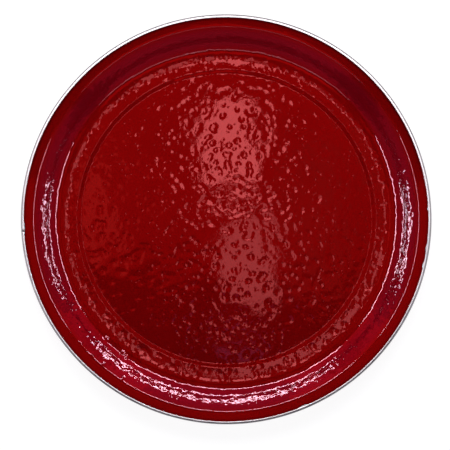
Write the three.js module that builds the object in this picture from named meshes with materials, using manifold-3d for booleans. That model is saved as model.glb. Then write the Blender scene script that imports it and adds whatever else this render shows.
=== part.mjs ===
// Round enamelled-steel serving tray with a crimped stainless rim.
// Millimetres, +Z up. The origin is the centre of the flat underside that the tray rests on.
//
// The pan is one pressing of thin sheet. Its middle line, from the centre of the floor to the tip
// of the curled edge, is drawn once as straight stretches and arcs. Every layer is that line
// moved square to itself: the steel, the glass coat fired on each side, and the rim band.

import * as THREE from "three";
import { mergeVertices } from "three/addons/utils/BufferGeometryUtils.js";
import Module from "manifold-3d";

// Driving dimensions.
const OVERALL_DIAMETER = 508;
const STEEL_THICKNESS = 0.9;
const COAT_THICKNESS = 0.3;
const COAT_GAP = 0.01;
const BAND_THICKNESS = 0.4;
const BAND_CLEARANCE = 0.05;

// The floor: a flat well, one small step up, and a border that rises slowly to the wall.
const WELL_RADIUS = 181.5;
const STEP_SLOPE = 16;
const STEP_BEND = 8;
const STEP_RUN = 2.7;
const BORDER_SLOPE = 2.5;
const BORDER_BEND = 187;
const FOOT_SLOPE = 7;

// The wall: a bend out of the floor, a short cone, and a shoulder that turns slowly over its
// upper half and then quickly into the flange.
const FOOT_BEND = 31;
const WALL_SLOPE = 50;
const CONE_OUTER_RADIUS = 223.5;
const SHOULDER_BEND = 77.5;
const SHOULDER_SLOPE = 36;
const CORNER_BEND = 9;
const FLANGE_SLOPE = 14;

// The edge: the sheet curls down and under, and the band is folded round the curl.
const CURL_BEND = 1.65;
const CURL_TURN = 210;
const COAT_TURN = 150;
const BAND_TURN = 270;
const BAND_LIP_RADIUS = 250.1;
const SEAM_GAP = 0.5;
const SEAM_ANGLE = 183;

// Facets: steps round the tray, and the turn of one step along an arc of the outline.
const AROUND = 60;
const BEND_STEP = 14;
const CURL_STEP = 30;

const HALF_SHEET = STEEL_THICKNESS / 2;
const COAT_ROOT = HALF_SHEET + COAT_GAP;
const COAT_FACE = COAT_ROOT + COAT_THICKNESS;
const BAND_INSIDE = COAT_FACE + BAND_CLEARANCE;
const BAND_OUTSIDE = BAND_INSIDE + BAND_THICKNESS;
const BEAD_RADIUS = CURL_BEND + BAND_OUTSIDE;
const BEAD_CENTRE_RADIUS = OVERALL_DIAMETER / 2 - BEAD_RADIUS;

const radians = THREE.MathUtils.degToRad;
const sine = (degrees) => Math.sin(radians(degrees));
const cosine = (degrees) => Math.cos(radians(degrees));
const tangent = (degrees) => Math.tan(radians(degrees));

// A station is a point of the middle line with the slope of the sheet there, in degrees.
function startLine(radius, height, slope) {
  return [{ radius, height, slope }];
}

// A straight stretch at the last slope, out to a radius.
function straightTo(line, radius) {
  const last = line.at(-1);
  const height = last.height + (radius - last.radius) * tangent(last.slope);
  line.push({ radius, height, slope: last.slope });
}

// An arc from the last slope to another. It turns up where the slope grows, and down where it falls.
function bendTo(line, slope, bendRadius, step) {
  const first = line.at(-1);
  const steps = Math.max(1, Math.round(Math.abs(slope - first.slope) / step));
  const turn = Math.sign(slope - first.slope) * bendRadius;
  for (let i = 1; i <= steps; i++) {
    const here = first.slope + ((slope - first.slope) * i) / steps;
    line.push({
      radius: first.radius + turn * (sine(here) - sine(first.slope)),
      height: first.height - turn * (cosine(here) - cosine(first.slope)),
      slope: here,
    });
  }
}

// The middle line of the sheet, floor to flange.
const sheetLine = startLine(0, COAT_FACE, 0);
straightTo(sheetLine, WELL_RADIUS);
bendTo(sheetLine, STEP_SLOPE, STEP_BEND, BEND_STEP);
straightTo(sheetLine, sheetLine.at(-1).radius + STEP_RUN);
bendTo(sheetLine, BORDER_SLOPE, STEP_BEND, BEND_STEP);
bendTo(sheetLine, FOOT_SLOPE, BORDER_BEND, BEND_STEP);
bendTo(sheetLine, WALL_SLOPE, FOOT_BEND, BEND_STEP);
straightTo(sheetLine, CONE_OUTER_RADIUS);
bendTo(sheetLine, SHOULDER_SLOPE, SHOULDER_BEND, BEND_STEP);
bendTo(sheetLine, FLANGE_SLOPE, CORNER_BEND, BEND_STEP);
const bandLip = sheetLine.length;
straightTo(sheetLine, BAND_LIP_RADIUS);
const curlStart = sheetLine.length;
straightTo(sheetLine, BEAD_CENTRE_RADIUS - CURL_BEND * sine(FLANGE_SLOPE));
bendTo(sheetLine, FLANGE_SLOPE - CURL_TURN, CURL_BEND, CURL_STEP);

// The point at some distance square to the sheet, above it where the distance is positive.
function offsetPoint(station, distance) {
  return new THREE.Vector2(
    station.radius - distance * sine(station.slope),
    station.height + distance * cosine(station.slope),
  );
}

// The closed outline of a layer between two distances from the middle line.
function layerOutline(stations, lower, upper) {
  const under = stations.map((s) => offsetPoint(s, lower));
  const over = stations.map((s) => offsetPoint(s, upper)).reverse();
  const outline = [...under, ...over];
  const startsOnAxis = stations[0].radius === 0;
  return startsOnAxis ? outline : [...outline, outline[0].clone()];
}

// The outline turned about the tray's axis, with that axis laid along +Z.
function turned(outline) {
  const geometry = new THREE.LatheGeometry(outline, AROUND);
  return geometry.rotateX(Math.PI / 2);
}

function steelPan() {
  return turned(layerOutline(sheetLine, -HALF_SHEET, HALF_SHEET));
}

// The face coat runs over the flange and most of the way round the curl, under the band.
function faceEnamel() {
  const covered = sheetLine.slice(0, curlStart + 1 + COAT_TURN / CURL_STEP);
  return turned(layerOutline(covered, COAT_ROOT, COAT_FACE));
}

// The back coat stops where the curl begins.
function backEnamel() {
  const covered = sheetLine.slice(0, curlStart + 1);
  return turned(layerOutline(covered, -COAT_FACE, -COAT_ROOT));
}

// The band has a short leg on the flange and then follows the curl round to its lower lip.
function bandRing() {
  const bandLine = sheetLine.slice(bandLip, curlStart + 1);
  bendTo(bandLine, FLANGE_SLOPE - BAND_TURN, CURL_BEND, CURL_STEP);
  return turned(layerOutline(bandLine, BAND_INSIDE, BAND_OUTSIDE));
}

const wasm = await Module();
wasm.setup();

function toSolid(geometry) {
  const bare = geometry.clone();
  bare.deleteAttribute("normal");
  bare.deleteAttribute("uv");
  const merged = mergeVertices(bare, 1e-3);
  const mesh = new wasm.Mesh({
    numProp: 3,
    vertProperties: new Float32Array(merged.attributes.position.array),
    triVerts: new Uint32Array(merged.index.array),
  });
  mesh.merge();
  return new wasm.Manifold(mesh);
}

function toGeometry(solid) {
  const mesh = solid.getMesh();
  const positions = new THREE.BufferAttribute(mesh.vertProperties.slice(), 3);
  const geometry = new THREE.BufferGeometry().setAttribute("position", positions);
  geometry.setIndex(new THREE.BufferAttribute(mesh.triVerts.slice(), 1));
  geometry.computeVertexNormals();
  return geometry;
}

// The band is a strip bent into a ring, so its two ends meet at a narrow butt seam.
function rimBand() {
  const cutter = new THREE.BoxGeometry(6 * BEAD_RADIUS, SEAM_GAP, 6 * BEAD_RADIUS);
  cutter.translate(BEAD_CENTRE_RADIUS, 0, curlCentreHeight());
  cutter.rotateZ(radians(SEAM_ANGLE));
  return toGeometry(toSolid(bandRing()).subtract(toSolid(cutter)));
}

function curlCentreHeight() {
  const start = sheetLine[curlStart];
  return start.height - CURL_BEND * cosine(start.slope);
}

const redEnamel = new THREE.MeshStandardMaterial({
  color: 0x8c0a0e,
  roughness: 0.08,
  metalness: 0,
});
const darkEnamel = new THREE.MeshStandardMaterial({
  color: 0x7a080c,
  roughness: 0.14,
  metalness: 0,
});
const bareSteel = new THREE.MeshStandardMaterial({
  color: 0x5c5f63,
  roughness: 0.5,
  metalness: 1,
});
const stainless = new THREE.MeshStandardMaterial({
  color: 0xc9cbd1,
  roughness: 0.18,
  metalness: 1,
});

const tray = new THREE.Group();

function addPiece(name, geometry, material) {
  const mesh = new THREE.Mesh(geometry, material);
  mesh.name = name;
  tray.add(mesh);
}

addPiece("steel_pan", steelPan(), bareSteel);
addPiece("face_enamel", faceEnamel(), redEnamel);
addPiece("back_enamel", backEnamel(), darkEnamel);
addPiece("rim_band", rimBand(), stainless);

export default tray;
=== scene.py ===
"""A round serving tray in red vitreous enamel on pressed steel, with a rolled stainless rim.

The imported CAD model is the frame: it gives the tray's place and its outer size. Each layer of the
tray is made again here as a fine mesh. Everything is in metres, and the tray lies on the table
at z = 0 with its face up.
"""

import math

import bpy
import numpy as np
from mathutils import Matrix, Vector


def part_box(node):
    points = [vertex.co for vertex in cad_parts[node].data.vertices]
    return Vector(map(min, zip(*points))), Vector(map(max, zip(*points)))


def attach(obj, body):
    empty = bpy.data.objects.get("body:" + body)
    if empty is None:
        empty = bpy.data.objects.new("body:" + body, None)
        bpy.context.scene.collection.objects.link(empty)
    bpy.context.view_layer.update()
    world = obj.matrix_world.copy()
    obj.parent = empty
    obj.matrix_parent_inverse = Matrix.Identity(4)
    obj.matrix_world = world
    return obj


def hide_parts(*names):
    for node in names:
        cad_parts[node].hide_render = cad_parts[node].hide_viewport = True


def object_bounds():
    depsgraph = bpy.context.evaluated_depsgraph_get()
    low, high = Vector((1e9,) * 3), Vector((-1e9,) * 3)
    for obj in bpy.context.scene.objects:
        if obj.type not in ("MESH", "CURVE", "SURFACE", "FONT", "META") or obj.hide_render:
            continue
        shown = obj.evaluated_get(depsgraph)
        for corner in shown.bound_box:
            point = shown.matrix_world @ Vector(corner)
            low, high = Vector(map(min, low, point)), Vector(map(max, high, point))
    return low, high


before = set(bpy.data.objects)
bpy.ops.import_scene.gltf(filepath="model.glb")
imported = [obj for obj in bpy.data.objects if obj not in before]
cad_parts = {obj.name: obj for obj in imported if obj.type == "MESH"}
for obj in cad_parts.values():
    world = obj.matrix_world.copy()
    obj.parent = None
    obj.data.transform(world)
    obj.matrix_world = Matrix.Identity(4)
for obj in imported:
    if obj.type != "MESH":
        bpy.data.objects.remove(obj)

cad_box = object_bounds()
MM = 0.001


# ---------------------------------------------------------------------------------------------
# The pan.
# One pressing of 0.9 mm enamelling steel: a flat well, a small step up, a border that rises
# slowly, a wall, a flange, and an edge that is curled down and under to take the rim band.
# It ends up wholly inside the glass and the band, so its surface is the grey of fired steel.

STEEL = 0.9 * MM
COAT = 0.3 * MM
COAT_GAP = 0.01 * MM
CURL_BEND = 1.65 * MM
BAND_CLEARANCE = 0.05 * MM
BAND_THICKNESS = 0.4 * MM

COAT_ROOT = STEEL / 2 + COAT_GAP
COAT_FACE = COAT_ROOT + COAT
BEAD_RADIUS = CURL_BEND + COAT_FACE + BAND_CLEARANCE + BAND_THICKNESS
BEAD_CENTRE_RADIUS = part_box("rim_band")[1][0] - BEAD_RADIUS

# The middle line of the sheet, from the axis outwards. Slopes and turns are in degrees.
WELL_RADIUS = 181.5 * MM
STEP_SLOPE = 16
STEP_BEND = 8 * MM
STEP_RUN = 2.7 * MM
BORDER_SLOPE = 2.5
BORDER_BEND = 187 * MM
FOOT_SLOPE = 7
FOOT_BEND = 31 * MM
WALL_SLOPE = 50
CONE_OUTER_RADIUS = 223.5 * MM
SHOULDER_BEND = 77.5 * MM
SHOULDER_SLOPE = 36
CORNER_BEND = 9 * MM
FLANGE_SLOPE = 14
CURL_TURN = 210
CURL_STEP = 15
COAT_TURN = 150


def straight_to(line, radius, spacing):
    """The line goes on at its last slope out to a radius, with points about spacing apart."""
    start_radius, start_height, slope = line[-1]
    pieces = max(1, round((radius - start_radius) / spacing))
    for i in range(1, pieces + 1):
        out = (radius - start_radius) * i / pieces
        line.append((start_radius + out, start_height + out * math.tan(slope), slope))


def bend_to(line, degrees, bend, spacing, least=2):
    """The line turns along an arc of radius bend until its slope is that many degrees."""
    start_radius, start_height, start = line[-1]
    end = math.radians(degrees)
    turn = math.copysign(bend, end - start)
    pieces = max(least, round(bend * abs(end - start) / spacing))
    for i in range(1, pieces + 1):
        slope = start + (end - start) * i / pieces
        line.append((
            start_radius + turn * (math.sin(slope) - math.sin(start)),
            start_height - turn * (math.cos(slope) - math.cos(start)),
            slope,
        ))


def sheet_line(spacing, curl_turn):
    """The middle line of the sheet, from the tray's axis to some way round the curled edge."""
    line = [(0.0, COAT_FACE, 0.0)]
    straight_to(line, WELL_RADIUS, spacing)
    bend_to(line, STEP_SLOPE, STEP_BEND, spacing, least=3)
    straight_to(line, line[-1][0] + STEP_RUN, spacing)
    bend_to(line, BORDER_SLOPE, STEP_BEND, spacing, least=3)
    bend_to(line, FOOT_SLOPE, BORDER_BEND, spacing)
    bend_to(line, WALL_SLOPE, FOOT_BEND, spacing)
    straight_to(line, CONE_OUTER_RADIUS, spacing)
    bend_to(line, SHOULDER_SLOPE, SHOULDER_BEND, spacing)
    bend_to(line, FLANGE_SLOPE, CORNER_BEND, spacing, least=3)
    straight_to(line, BEAD_CENTRE_RADIUS - CURL_BEND * math.sin(line[-1][2]), spacing)
    if curl_turn:
        bend_to(line, FLANGE_SLOPE - curl_turn, CURL_BEND, spacing, least=curl_turn // CURL_STEP)
    return line


def set_off(line, distance):
    """The same line moved square to itself: each point is (radius, height, slope)."""
    return [(r - distance * math.sin(s), z + distance * math.cos(s), s) for r, z, s in line]


# Pressing and firing leave long shallow waves in the sheet. An even lift is added to them, and
# they never take the sheet below its true line.
WAVE_COUNT = 26
WAVE_LENGTHS_IN_MM = (22, 90)
WAVE_STEEPNESS = 0.00024
WAVE_FLOOR = 0.16 * MM


def sheet_waves(x, y):
    """The height of all the waves at each place, in metres, above or below their mean."""
    rng = np.random.default_rng(41)
    lift = np.zeros_like(x)
    for wave in range(WAVE_COUNT):
        length = rng.uniform(*WAVE_LENGTHS_IN_MM) * MM
        heading = rng.uniform(0, 2 * math.pi)
        phase = rng.uniform(0, 2 * math.pi)
        along = x * math.cos(heading) + y * math.sin(heading)
        lift += WAVE_STEEPNESS * length * np.sin(2 * math.pi * along / length + phase)
    return lift


BORDER_RADIUS = 188 * MM
BORDER_SAG_RUN = 10 * MM
BORDER_SAG = 0.62 * MM


def far_border_sag(y, out):
    """The border came out of the press a little flatter on the far side than on the near side."""
    across = np.clip((out - BORDER_RADIUS) / BORDER_SAG_RUN, 0, 1)
    return BORDER_SAG * across * (1 + y / np.maximum(out, MM)) / 2


# The waves and the sag die away over this run, because the rolled rim holds the edge true.
TRUE_RADIUS = 246 * MM
TRUING_RUN = 10 * MM


def points_round(radius, spacing):
    """How many points a ring has: one on the axis, and elsewhere as many as spacing asks for."""
    return 1 if radius < 1e-6 else max(6, round(2 * math.pi * radius / spacing))


def shell_of_rings(name, outline, spacing, relief=None):
    """A closed shell turned round the tray's axis from an outline that starts and ends on it.

    Each ring has as many points as keep them about spacing apart, and neighbouring rings are laced
    together, so triangles stay even from the axis to the rim. spacing is one value for each point
    of the outline. relief(places) gives each point's rise along the surface's own normal.
    """
    places = []
    slopes = []
    rings = []
    for (radius, height, slope), gap in zip(outline, spacing):
        count = points_round(radius, gap)
        rings.append((len(places), count))
        for i in range(count):
            angle = 2 * math.pi * i / count
            places.append((radius * math.cos(angle), radius * math.sin(angle), height))
            slopes.append(slope)
    places = np.array(places)
    slopes = np.array(slopes)
    out = np.hypot(places[:, 0], places[:, 1])
    outward = places[:, :2] / np.maximum(out, 1e-9)[:, None]
    normals = np.column_stack([-outward * np.sin(slopes)[:, None], np.cos(slopes)])
    fade = np.clip((TRUE_RADIUS - out) / TRUING_RUN, 0, 1)
    rise = (WAVE_FLOOR + sheet_waves(places[:, 0], places[:, 1])).clip(0) * fade
    rise -= far_border_sag(places[:, 1], out) * fade
    if relief is not None:
        rise = rise + relief(places)
    places = places + normals * rise[:, None]

    # Each triangle steps on along the ring that is behind. A single point on the axis has no steps.
    faces = []
    for (first, n), (second, m) in zip(rings, rings[1:]):
        i = j = 0
        while i < n * (n > 1) or j < m * (m > 1):
            here = first + i % n
            there = second + j % m
            step_inner = m == 1 or (n > 1 and (i + 1) * m <= (j + 1) * n and i < n) or j >= m
            if step_inner and n > 1:
                faces.append((here, there, first + (i + 1) % n))
                i += 1
            else:
                faces.append((here, there, second + (j + 1) % m))
                j += 1
    return new_piece(name, places, faces)


def new_piece(name, places, faces):
    mesh = bpy.data.meshes.new(name)
    mesh.from_pydata([tuple(p) for p in places], [], faces)
    mesh.validate()
    mesh.shade_smooth()
    piece = bpy.data.objects.new(name, mesh)
    bpy.context.scene.collection.objects.link(piece)
    return piece


def layer(lower_line, upper_line):
    """The outline of a layer, with its upper side drawn outwards and its lower side inwards."""
    return upper_line + lower_line[::-1]


PAN_LINE_SPACING = 2.5 * MM
PAN_RING_SPACING = 5 * MM

pan_line = sheet_line(PAN_LINE_SPACING, CURL_TURN)
pan_outline = layer(set_off(pan_line, -STEEL / 2), set_off(pan_line, STEEL / 2))
pan = shell_of_rings("pressed_pan", pan_outline, [PAN_RING_SPACING] * len(pan_outline))

# Nearly all of a cloudy noise lies between these two values.
NOISE_LOW = 0.3
NOISE_HIGH = 0.7

# The span of the curves that depend on the distance from the axis: a little more than the tray's.
CURVE_SPAN = 0.26


class Finish:
    """A procedural material: a Principled surface and short ways to add the nodes that feed it."""

    def __init__(self, name, **sockets):
        self.material = bpy.data.materials.new(name)
        self.material.use_nodes = True
        self.tree = self.material.node_tree
        self.surface = self.tree.nodes["Principled BSDF"]
        for socket, value in sockets.items():
            self.surface.inputs[socket.replace("_", " ")].default_value = value
        self.where = self.tree.nodes.new("ShaderNodeTexCoord").outputs["Object"]

    def node(self, kind, **settings):
        made = self.tree.nodes.new("ShaderNode" + kind)
        for setting, value in settings.items():
            setattr(made, setting, value)
        return made

    def link(self, source, target):
        self.tree.links.new(source, target)

    def noise(self, size, detail=2.0, roughness=0.5):
        """Cloudy noise with features about size across, from 0 to 1."""
        made = self.node("TexNoise")
        made.inputs["Scale"].default_value = 1 / size
        made.inputs["Detail"].default_value = detail
        made.inputs["Roughness"].default_value = roughness
        self.link(self.where, made.inputs["Vector"])
        return made.outputs["Fac"]

    def between(self, noise, low, high):
        """A value that runs from low to high with a noise."""
        made = self.node("MapRange")
        self.link(noise, made.inputs["Value"])
        made.inputs["From Min"].default_value = NOISE_LOW
        made.inputs["From Max"].default_value = NOISE_HIGH
        made.inputs["To Min"].default_value = low
        made.inputs["To Max"].default_value = high
        return made.outputs["Result"]

    def math(self, operation, first, second):
        """Arithmetic on a node's value and either a number or another node's value."""
        made = self.node("Math", operation=operation)
        self.link(first, made.inputs[0])
        if isinstance(second, float):
            made.inputs[1].default_value = second
        else:
            self.link(second, made.inputs[1])
        return made.outputs["Value"]

    def radius_band(self, *stops):
        """A value that depends on the distance from the tray's axis: (metres, value) stops."""
        flat = self.node("VectorMath", operation="MULTIPLY")
        self.link(self.where, flat.inputs[0])
        flat.inputs[1].default_value = (1, 1, 0)
        length = self.node("VectorMath", operation="LENGTH")
        self.link(flat.outputs["Vector"], length.inputs[0])
        made = self.node("FloatCurve")
        curve = made.mapping.curves[0]
        while len(curve.points) < len(stops):
            curve.points.new(0.5, 0.5)
        for point, (radius, value) in zip(curve.points, stops):
            point.location = (radius / CURVE_SPAN, value)
            point.handle_type = "VECTOR"
        made.mapping.update()
        share = self.math("DIVIDE", length.outputs["Value"], CURVE_SPAN)
        self.link(share, made.inputs["Value"])
        return made.outputs["Value"]

    def colours(self, noise, low, high):
        """A colour that runs from one to another with a noise."""
        made = self.node("ValToRGB")
        stops = ((NOISE_LOW, low), (NOISE_HIGH, high))
        for element, (position, colour) in zip(made.color_ramp.elements, stops):
            element.position = position
            element.color = (*colour, 1)
        self.link(noise, made.inputs["Fac"])
        return made.outputs["Color"]

    def craters(self, spacing, radius):
        """Round hollows at random places: 1 at the middle of each, 0 beyond its radius."""
        made = self.node("TexVoronoi")
        made.inputs["Scale"].default_value = 1 / spacing
        self.link(self.where, made.inputs["Vector"])
        hollow = self.node("MapRange", interpolation_type="SMOOTHERSTEP")
        self.link(made.outputs["Distance"], hollow.inputs["Value"])
        hollow.inputs["From Min"].default_value = 0
        hollow.inputs["From Max"].default_value = radius / spacing
        hollow.inputs["To Min"].default_value = 1
        hollow.inputs["To Max"].default_value = 0
        return hollow.outputs["Result"]

    def mixed(self, first, second, share):
        """The first colour where the share is 0, and the second where it is 1."""
        made = self.node("MixRGB")
        self.link(share, made.inputs["Fac"])
        self.link(first, made.inputs["Color1"])
        self.link(second, made.inputs["Color2"])
        return made.outputs["Color"]

    def shaded(self, colour, value):
        """The colour made darker where the value is below 1."""
        made = self.node("VectorMath", operation="SCALE")
        self.link(colour, made.inputs[0])
        self.link(value, made.inputs["Scale"])
        return made.outputs["Vector"]

    def bump(self, height, depth, below=None):
        """Surface relief: height from 0 to 1 is depth metres deep."""
        made = self.node("Bump")
        made.inputs["Strength"].default_value = 1.0
        made.inputs["Distance"].default_value = depth
        self.link(height, made.inputs["Height"])
        if below is not None:
            self.link(below, made.inputs["Normal"])
        self.link(made.outputs["Normal"], self.surface.inputs["Normal"])
        return made.outputs["Normal"]


fired_steel = Finish("fired_steel", Metallic=1.0)
scale_patches = fired_steel.noise(14 * MM, detail=4)
fired_steel.link(
    fired_steel.colours(scale_patches, (0.12, 0.12, 0.13), (0.26, 0.25, 0.25)),
    fired_steel.surface.inputs["Base Color"],
)
fired_steel.link(
    fired_steel.between(scale_patches, 0.4, 0.65), fired_steel.surface.inputs["Roughness"]
)
fired_steel.bump(fired_steel.noise(1.2 * MM, detail=3), 0.02 * MM)
pan.data.materials.append(fired_steel.material)

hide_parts("steel_pan")
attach(pan, "root")


# ---------------------------------------------------------------------------------------------
# The face enamel.
# Red glass frit sprayed on the face of the pan and fired. The droplets don't level out, so the
# glass keeps the relief of orange peel: a flat surface with many shallow pits. It runs thin and
# smooth over the corners, and it ends under the band.

FACE_SPACING = 1.62 * MM
EDGE_SPACING = 2.2 * MM
EDGE_RADIUS = 244 * MM

# Where a layer faces another it is hidden, so its points lie further apart.
HIDDEN_LINE_SPACING = 6 * MM
HIDDEN_RING_SPACING = 9 * MM

AREA_PER_PIT = 74 * MM * MM
PIT_LEAST_WIDTH = 1.0 * MM
PIT_WIDTH_SPREAD = 1.4 * MM
PIT_WIDTH_BIAS = 1.4
PIT_STEEPNESS = (0.05, 0.15)
PIT_REACH_IN_WIDTHS = 3.2
DEEPEST_PIT = 0.6 * COAT

# The depth of the pits at each radius, where 1 is their depth on the floor. They are deeper on the
# border and the wall, shallow in the corners, and absent from the flange.
PIT_DEPTHS = (
    (183 * MM, 1.0), (189 * MM, 1.5), (204 * MM, 1.3), (209 * MM, 0.30), (213 * MM, 0.35),
    (218 * MM, 1.7), (231 * MM, 1.5), (236 * MM, 0.15), (243 * MM, 0.0),
)

# Gas bubbles in the firing left small domes: azimuth in degrees, distance from the axis.
BUBBLES = (
    (220.3, 235.3 * MM), (225.3, 235 * MM), (229.6, 235.1 * MM), (237, 234.6 * MM),
    (224.8, 211.9 * MM), (232.2, 211.4 * MM), (234, 214 * MM),
)
BUBBLE_HEIGHT = 0.9 * MM
BUBBLE_RADIUS = 1.8 * MM


def pits_on(line, rng):
    """Random pits on the turned surface: places, widths and depths, even over its area."""
    stations = np.array(line)
    lengths = np.hypot(np.diff(stations[:, 0]), np.diff(stations[:, 1]))
    areas = np.pi * (stations[1:, 0] + stations[:-1, 0]) * lengths
    total = areas.sum()
    found = rng.choice(len(areas), size=round(total / AREA_PER_PIT), p=areas / total)
    along = rng.uniform(size=len(found))
    angle = rng.uniform(0, 2 * math.pi, size=len(found))
    radius = stations[found, 0] * (1 - along) + stations[found + 1, 0] * along
    height = stations[found, 1] * (1 - along) + stations[found + 1, 1] * along
    places = np.column_stack([radius * np.cos(angle), radius * np.sin(angle), height])
    share = rng.uniform(size=len(found)) ** PIT_WIDTH_BIAS
    widths = PIT_LEAST_WIDTH + PIT_WIDTH_SPREAD * share
    depths = widths * rng.uniform(*PIT_STEEPNESS, size=len(found))
    return places, widths, depths


def glaze_relief(places):
    """All the pits and bubbles at each place, on the upper side of the coat only."""
    rise = np.zeros(len(places))
    centres, widths, depths = pits_on(face_line, np.random.default_rng(7))
    order = np.argsort(places[:face_points, 0])
    sorted_x = places[order, 0]
    for centre, width, depth in zip(centres, widths, depths):
        reach = PIT_REACH_IN_WIDTHS * width
        low, high = np.searchsorted(sorted_x, (centre[0] - reach, centre[0] + reach))
        near = order[low:high]
        near = near[np.abs(places[near, 1] - centre[1]) < reach]
        away = ((places[near] - centre) ** 2).sum(axis=1)
        rise[near] -= depth * np.exp(-away / (2 * width * width))
    out = np.hypot(places[:, 0], places[:, 1])
    rise = np.maximum(rise * np.interp(out, *zip(*PIT_DEPTHS)), -DEEPEST_PIT)
    for azimuth, radius in BUBBLES:
        angle = math.radians(azimuth)
        east = places[:face_points, 0] - radius * math.cos(angle)
        north = places[:face_points, 1] - radius * math.sin(angle)
        dome = np.exp(-(east ** 2 + north ** 2) / BUBBLE_RADIUS ** 2)
        rise[:face_points] += BUBBLE_HEIGHT * dome
    return rise


face_line = set_off(sheet_line(FACE_SPACING, COAT_TURN), COAT_FACE)
face_root = set_off(sheet_line(HIDDEN_LINE_SPACING, COAT_TURN), COAT_ROOT)
face_outline = layer(face_root, face_line)
face_gaps = [EDGE_SPACING if r > EDGE_RADIUS else FACE_SPACING for r, z, s in face_line]
face_points = sum(points_round(r, gap) for (r, z, s), gap in zip(face_line, face_gaps))
face_gaps += [HIDDEN_RING_SPACING] * len(face_root)
face = shell_of_rings("face_enamel_coat", face_outline, face_gaps, glaze_relief)

red_glass = Finish("red_glass", IOR=1.5, Specular_Tint=(1.0, 0.20, 0.21, 1.0))
clouds = red_glass.noise(70 * MM, detail=3)
# Painted shade: the base colour is made 8% darker over the flange, and less than half as bright
# where it runs in under the band's lip.
painted_shade_at_lip = red_glass.radius_band(
    (0, 1), (0.237, 1), (0.241, 0.92), (0.2462, 0.92), (0.2482, 0.45), (CURVE_SPAN, 0.4)
)
scarlet = red_glass.colours(clouds, (0.150, 0.0002, 0.0003), (0.168, 0.0003, 0.0004))
# Painted reflection: on the wall the red takes a little blue, in place of the violet that the wall
# mirrors.
red_with_painted_violet = red_glass.colours(clouds, (0.150, 0.0003, 0.0040), (0.160, 0.0004, 0.0050))
painted_reflection_on_wall = red_glass.radius_band(
    (0, 0), (0.212, 0), (0.218, 1), (0.233, 1), (0.237, 0), (CURVE_SPAN, 0)
)
red_glass.link(
    red_glass.shaded(red_glass.mixed(scarlet, red_with_painted_violet, painted_reflection_on_wall), painted_shade_at_lip),
    red_glass.surface.inputs["Base Color"],
)
haze = red_glass.noise(38 * MM, detail=6, roughness=0.6)
red_glass.link(red_glass.between(haze, 0.02, 0.055), red_glass.surface.inputs["Roughness"])
ripple = red_glass.bump(red_glass.noise(3.5 * MM, detail=2.5), 0.030 * MM)
on_wall = red_glass.radius_band(
    (0, 0.02), (0.2, 0.02), (0.214, 0.05), (0.2175, 1), (0.232, 1), (0.235, 0.04), (CURVE_SPAN, 0.01)
)
crawl = red_glass.math("MULTIPLY", red_glass.noise(4.4 * MM, detail=1.5), on_wall)
crawled = red_glass.bump(crawl, 0.28 * MM, below=ripple)
off_the_corners = red_glass.radius_band(
    (0, 1), (0.206, 1), (0.210, 0.2), (0.235, 0.2), (0.24, 0), (CURVE_SPAN, 0)
)
pin_holes = red_glass.math("MULTIPLY", red_glass.craters(6.5 * MM, 1.7 * MM), off_the_corners)
pitted = red_glass.bump(pin_holes, -0.085 * MM, below=crawled)
red_glass.bump(red_glass.noise(1.1 * MM, detail=2), 0.003 * MM, below=pitted)
face.data.materials.append(red_glass.material)

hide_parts("face_enamel")
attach(face, "root")


# ---------------------------------------------------------------------------------------------
# The back enamel.
# A second coat on the underside, a little darker and duller than the face, with a fine even
# texture. It stops where the edge begins to curl.

BACK_SPACING = 3 * MM

back_line = set_off(sheet_line(BACK_SPACING, 0), -COAT_FACE)
back_root = set_off(sheet_line(HIDDEN_LINE_SPACING, 0), -COAT_ROOT)
back_outline = layer(back_line, back_root)
back_gaps = [HIDDEN_RING_SPACING] * len(back_root) + [BACK_SPACING] * len(back_line)
back = shell_of_rings("back_enamel_coat", back_outline, back_gaps)

dark_glass = Finish("dark_red_glass", IOR=1.5, Specular_Tint=(1.0, 0.5, 0.5, 1.0))
back_clouds = dark_glass.noise(50 * MM, detail=4)
dark_glass.link(
    dark_glass.colours(back_clouds, (0.125, 0.0006, 0.0008), (0.145, 0.0009, 0.0011)),
    dark_glass.surface.inputs["Base Color"],
)
dark_glass.link(dark_glass.between(back_clouds, 0.10, 0.20), dark_glass.surface.inputs["Roughness"])
peel = dark_glass.bump(dark_glass.noise(4 * MM, detail=2), 0.10 * MM)
dark_glass.bump(dark_glass.noise(0.9 * MM, detail=2), 0.008 * MM, below=peel)
back.data.materials.append(dark_glass.material)

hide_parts("back_enamel")
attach(back, "root")


# ---------------------------------------------------------------------------------------------
# The rim band.
# A strip of thin stainless steel rolled round the curled edge in a machine and polished. Its two
# ends meet at a hairline butt seam. A faint fine bump roughens its surface.

BAND_LIP_RADIUS = 250.1 * MM
BAND_TURN = 270
SEAM_GAP = 0.1 * MM
SEAM_ANGLE = math.radians(183)
BAND_STEPS = 720
BAND_CROWN = cad_box[1][2]
BAND_SPACING = 1 * MM

# Where the rollers have spread the lip a little over the flange: azimuth and half width, degrees.
LIP_FLAWS = ((3.6, 0.6), (-7.4, 0.9), (-12.3, 0.8), (181.9, 1.7), (-67.3, 1.3))
LIP_FLAW_DEPTH = 1.1 * MM

# The lip also wanders a little all the way round, as two waves that beat against each other.
LIP_WANDER = 0.05 * MM
LIP_WAVES = (37, 11)

flange_end = sheet_line(HIDDEN_LINE_SPACING, 0)[-1]
lip_height = flange_end[1] - (flange_end[0] - BAND_LIP_RADIUS) * math.tan(flange_end[2])
band_line = [(BAND_LIP_RADIUS, lip_height, flange_end[2]), flange_end]
bend_to(band_line, FLANGE_SLOPE - BAND_TURN, CURL_BEND, BAND_SPACING, least=BAND_TURN // CURL_STEP)
band_inside = COAT_FACE + BAND_CLEARANCE
band_section = set_off(band_line, band_inside)
band_section += set_off(band_line, band_inside + BAND_THICKNESS)[::-1]


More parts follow.
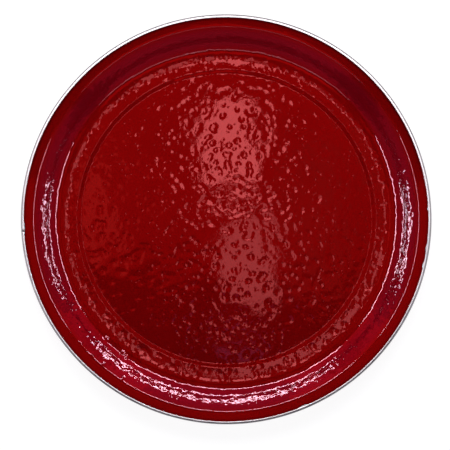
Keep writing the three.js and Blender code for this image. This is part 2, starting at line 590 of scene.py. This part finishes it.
def lip_spread(angle):
    """How far the lip lies inside its true radius at an angle round the rim."""
    spread = LIP_WANDER * math.sin(LIP_WAVES[0] * angle) * math.sin(LIP_WAVES[1] * angle)
    for azimuth, half_width in LIP_FLAWS:
        away = (math.degrees(angle) - azimuth + 180) % 360 - 180
        spread += LIP_FLAW_DEPTH * math.exp(-((away / half_width) ** 4))
    return spread


def rolled_band(section):
    """The strip's section carried round the rim, from one side of the seam to the other."""
    half_seam = SEAM_GAP / 2 / BEAD_CENTRE_RADIUS
    angles = SEAM_ANGLE + np.linspace(half_seam, 2 * math.pi - half_seam, BAND_STEPS)
    places = []
    faces = []
    count = len(section)
    for angle in angles:
        spread = lip_spread(angle)
        for i, (r, z, s) in enumerate(section):
            on_the_lip = i in (0, count - 1)
            if on_the_lip:
                r -= spread * math.cos(s)
                z -= spread * math.sin(s)
            places.append((r * math.cos(angle), r * math.sin(angle), min(z, BAND_CROWN)))
    for i in range(BAND_STEPS - 1):
        for j in range(count):
            k = (j + 1) % count
            a, b = i * count, (i + 1) * count
            faces.append((a + j, b + j, b + k, a + k))
    half = count // 2
    for j in range(half - 1):
        start_cap = (j, j + 1, count - 2 - j, count - 1 - j)
        faces.append(start_cap)
        faces.append(tuple((BAND_STEPS - 1) * count + k for k in reversed(start_cap)))
    strip = new_piece("rim_band_strip", places, faces)
    for cap in strip.data.polygons[(BAND_STEPS - 1) * count:]:
        cap.use_smooth = False
    return strip


band = rolled_band(band_section)

stainless = Finish("polished_stainless", Metallic=1.0)
smudges = stainless.noise(22 * MM, detail=4)
stainless.link(
    stainless.colours(smudges, (0.41, 0.395, 0.405), (0.50, 0.485, 0.49)),
    stainless.surface.inputs["Base Color"],
)
stainless.link(stainless.between(smudges, 0.32, 0.44), stainless.surface.inputs["Roughness"])
stainless.bump(stainless.noise(0.8 * MM, detail=3), 0.004 * MM)
band.data.materials.append(stainless.material)

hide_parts("rim_band")
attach(band, "root")


# ---------------------------------------------------------------------------------------------
# The table, the lights and the camera.
# The tray lies on a plain white table. Three large lamps give the even light. The others are seen
# only as reflections: level panes at the camera's height show in the floor of the tray, boxes
# round the sides show in its wall, and three more show in the rim.


TABLE_HALF_WIDTH = 8.0


def white_table():
    mesh = bpy.data.meshes.new("table")
    half = TABLE_HALF_WIDTH
    corners = [(-half, -half, 0), (half, -half, 0), (half, half, 0), (-half, half, 0)]
    mesh.from_pydata(corners, [], [(0, 1, 2, 3)])
    table = bpy.data.objects.new("table", mesh)
    bpy.context.scene.collection.objects.link(table)
    paper = Finish("white_table", Base_Color=(0.25, 0.25, 0.26, 1), Roughness=0.6)
    paper.surface.inputs["Emission Color"].default_value = (1.0, 1.0, 1.0, 1)
    paper.surface.inputs["Emission Strength"].default_value = 0.88
    mesh.materials.append(paper.material)
    return table


white_table()

glass_pieces = bpy.data.collections.new("glass_pieces")
glass_pieces.objects.link(face)
glass_pieces.objects.link(back)
metal_pieces = bpy.data.collections.new("metal_pieces")
metal_pieces.objects.link(band)


def turned_matrix(at, rightward, upward, backward):
    """The matrix that stands a lamp or a camera at a point, with its three sides turned as given."""
    return Matrix.Translation(at) @ Matrix((rightward, upward, backward)).transposed().to_4x4()


def soft_box(name, at, size, facing, brightness, colour=(1, 1, 1), mirrored_by=None):
    """A rectangular lamp of a given brightness, its first side kept level, facing a point.

    It gives diffuse light alone, or is seen only as a reflection in the pieces that mirror it.
    """
    data = bpy.data.lights.new(name, "AREA")
    data.shape = "RECTANGLE"
    data.size, data.size_y = size
    data.energy = brightness * size[0] * size[1] * math.pi
    data.color = colour
    lamp = bpy.data.objects.new(name, data)
    bpy.context.scene.collection.objects.link(lamp)
    backward = (Vector(at) - Vector(facing)).normalized()
    level = Vector((0, 0, 1)).cross(backward)
    nearly_overhead = level.length <= 0.2
    level = Vector((1, 0, 0)) if nearly_overhead else level.normalized()
    lamp.matrix_world = turned_matrix(at, level, backward.cross(level), backward)
    lamp.visible_camera = False
    lamp.visible_glossy = mirrored_by is not None
    lamp.visible_diffuse = mirrored_by is None
    lamp.light_linking.receiver_collection = mirrored_by


CAMERA_HEIGHT = 2.0


def pane(name, x, y, size, brightness, colour):
    """A soft box that hangs level at the camera's height, mirrored by the floor of the tray."""
    at = (x, y, CAMERA_HEIGHT)
    soft_box(name, at, size, (x, y, 0), brightness, colour, mirrored_by=glass_pieces)


CENTRE = (0, 0, 0.02)
PALE_ROSE = (1.0, 0.82, 0.82)
ICE = (0.33, 0.72, 0.88)
PINK = (1.4, 0.14, 0.40)
BLUSH = (1.3, 0.10, 0.22)
VIOLET = (0.5, 0.4, 1.0)
WARM = (1.0, 0.35, 0.10)
ROSE = (1.0, 0.15, 0.12)
EMBER = (1.0, 0.03, 0.03)
SILVER = (1.0, 0.93, 0.97)

soft_box("key", (0, 1.0, 1.0), (1.6, 0.9), CENTRE, 5.3)
soft_box("overhead", (0, 0.1, 1.9), (1.2, 1.2), CENTRE, 0.37)
soft_box("near_fill", (0, -1.3, 0.35), (1.2, 0.3), CENTRE, 7.4)
pane("near_pane", -0.050, 0.060, (0.132, 0.228), 9.4, PALE_ROSE)
pane("near_pane_low", -0.006, -0.233, (0.118, 0.246), 4.5, PALE_ROSE)
pane("left_pane", -0.41, -0.11, (0.12, 0.26), 2.9, ROSE)
pane("right_pane", 0.175, -0.128, (0.11, 0.41), 1.2, ROSE)
pane("warm_lamp", -0.380, -0.012, (0.06, 0.06), 20, WARM)
pane("violet_lamp", -0.03, -0.454, (0.12, 0.05), 1.8, VIOLET)
for i in range(6):
    pane(f"ceiling_glow_{i}", -0.04, 0.16, (1.6 - 0.2 * i, 0.84 - 0.13 * i), 1.4, EMBER)
for i in range(4):
    pane(f"far_glow_{i}", -0.04, 0.27, (1.3 - 0.1 * i, 0.50 - 0.09 * i), 1.7, EMBER)

# Round the sides: turn in degrees, then the shift and width of the row of lamps in metres. glow,
# row, edge and step are the brightnesses of four boxes, and row_height is how high the row stands.
for side, turn, shift, width, glow, row, row_height, edge, step in (
    ("far", 0, 0.075, 1.90, 1.2, 130, 0.20, 110, 0.8),
    ("left", 90, 0, 0.52, 0.8, 100, 0.15, 90, 1.5),
    ("near", 180, 0, 1.6, 0.9, 0, 0, 10, 3.0),
    ("right", 270, -0.045, 0.60, 0.75, 90, 0.17, 90, 1.5),
):
    face_on = Matrix.Rotation(math.radians(turn), 3, "Z")
    for part, place, size, brightness, colour in (
        ("glow", (0, 1.10, 0.55), (1.8, 1.10), glow, PINK if side == "far" else BLUSH),
        ("row", (shift, 0.96, row_height), (width, 0.055), row, ICE),
        ("edge", (0, 0.85, 1.02), (max(1.0, width), 0.08), edge, ICE),
        ("step", (0, 1.12, 2.0), (1.8, 0.40), step, EMBER),
    ):
        if brightness:
            at = face_on @ Vector(place)
            name = f"{side}_{part}"
            soft_box(name, at, size, CENTRE, brightness, colour, mirrored_by=glass_pieces)
for side, turn in (("left", 45), ("right", -45)):
    at = Matrix.Rotation(math.radians(turn), 3, "Z") @ Vector((0, 1.15, 0.55))
    soft_box(f"far_{side}_glow", at, (0.8, 1.10), CENTRE, 1.8, EMBER, mirrored_by=glass_pieces)
soft_box("rim_glow", (0, 0.6, 1.5), (2.4, 1.4), CENTRE, 5.0, SILVER, mirrored_by=metal_pieces)
soft_box("rim_left", (-1.3, 0, 0.4), (2.2, 0.8), CENTRE, 0.7, SILVER, mirrored_by=metal_pieces)
soft_box("rim_right", (1.3, 0, 0.4), (2.2, 0.8), CENTRE, 0.4, SILVER, mirrored_by=metal_pieces)

world = bpy.data.worlds.new("studio")
world.use_nodes = True
background = world.node_tree.nodes["Background"]
background.inputs["Color"].default_value = (0.5, 0.42, 0.62, 1)
background.inputs["Strength"].default_value = 0.10
bpy.context.scene.world = world
bpy.context.scene.view_settings.view_transform = "Standard"

CAMERA_AT = Vector((0.060, 0.126, CAMERA_HEIGHT))
CAMERA_AIM = Vector((-0.0005, -0.0049, 0.030))
FRAME_WIDTH = 0.5562
SENSOR = 36.0

camera_data = bpy.data.cameras.new("camera")
camera = bpy.data.objects.new("camera", camera_data)
bpy.context.scene.collection.objects.link(camera)
sight = CAMERA_AT - CAMERA_AIM
backward = sight.normalized()
upward = (Vector((0, 1, 0)) - backward * backward.y).normalized()
rightward = upward.cross(backward)
camera.matrix_world = turned_matrix(CAMERA_AT, rightward, upward, backward)
camera_data.sensor_width = SENSOR
camera_data.lens = SENSOR * sight.length / FRAME_WIDTH
bpy.context.scene.camera = camera
